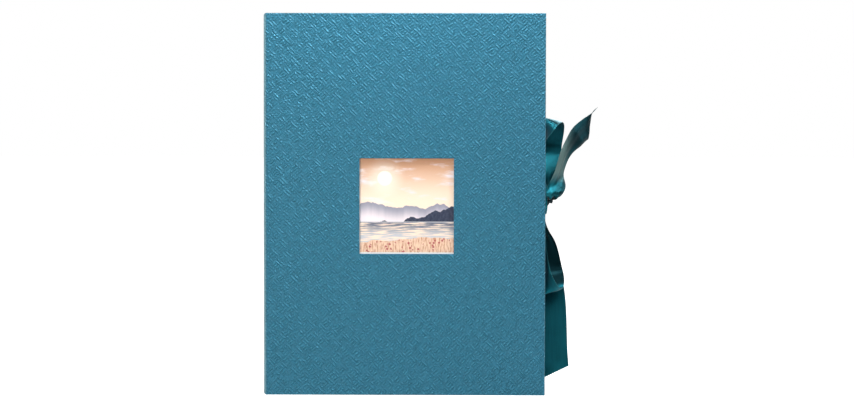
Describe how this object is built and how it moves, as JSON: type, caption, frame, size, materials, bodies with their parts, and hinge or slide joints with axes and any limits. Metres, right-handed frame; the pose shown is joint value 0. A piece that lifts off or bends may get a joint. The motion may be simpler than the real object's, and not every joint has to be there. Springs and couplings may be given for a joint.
{
  "type": "photo storage box",
  "caption": "Upright book-style photo storage box: hinged paper-covered case with a square picture window, glued inner tray and a satin ribbon bow at the fore-edge.",
  "frame": {"origin": "middle of the back cover's tail edge, on the surface that the box stands on", "axes": "+X from the spine to the fore-edge, +Y from the front cover to the back cover, +Z from tail to head"},
  "size_m": [0.2888, 0.052, 0.33],
  "materials": {
    "cover_paper": "embossed pearlescent covering paper",
    "tray_paper": "smooth matt covering paper",
    "lining_paper": "smooth lining paper",
    "greyboard": "raw greyboard",
    "joint_linen": "woven linen strip",
    "pocket_card": "smooth card",
    "photo_paper": "printed photographic paper, satin",
    "gummed_tape": "gummed paper tape",
    "satin_ribbon": "double-faced satin"
  },
  "bodies": {
    "case": {"back_board": "greyboard", "spine_board": "greyboard", "back_cover_paper": "cover_paper", "spine_paper": "cover_paper", "hinge_paper": "cover_paper", "hinge_cloth": "joint_linen", "back_lining": "lining_paper", "spine_lining": "lining_paper", "tray_floor": "greyboard", "tray_head_wall": "greyboard", "tray_tail_wall": "greyboard", "tray_fore_edge_wall": "greyboard", "tray_spine_wall": "greyboard", "tray_corner_tapes": "gummed_tape", "tray_wrap": "tray_paper", "tray_wall_lining": "lining_paper", "tray_floor_lining": "lining_paper", "back_ribbon": "satin_ribbon"},
    "front_cover": {"front_board": "greyboard", "front_cover_paper": "cover_paper", "front_lining": "lining_paper", "pocket_spacer": "pocket_card", "pocket_back": "pocket_card", "front_ribbon": "satin_ribbon"},
    "photo_print": {"photo_print": "photo_paper"}
  },
  "joints": [
    {"name": "cover_hinge", "type": "hinge", "parent": "case", "child": "front_cover", "pos_m": [-0.12115, -0.0498, 0.165], "axis": [0, 0, -1], "range_deg": [0, 180], "deforming": ["hinge_paper", "hinge_cloth"]},
    {"name": "photo_slide", "type": "slide", "parent": "front_cover", "child": "photo_print", "axis": [0, 0, 1], "range_m": [0, 0.1]}
  ]
}
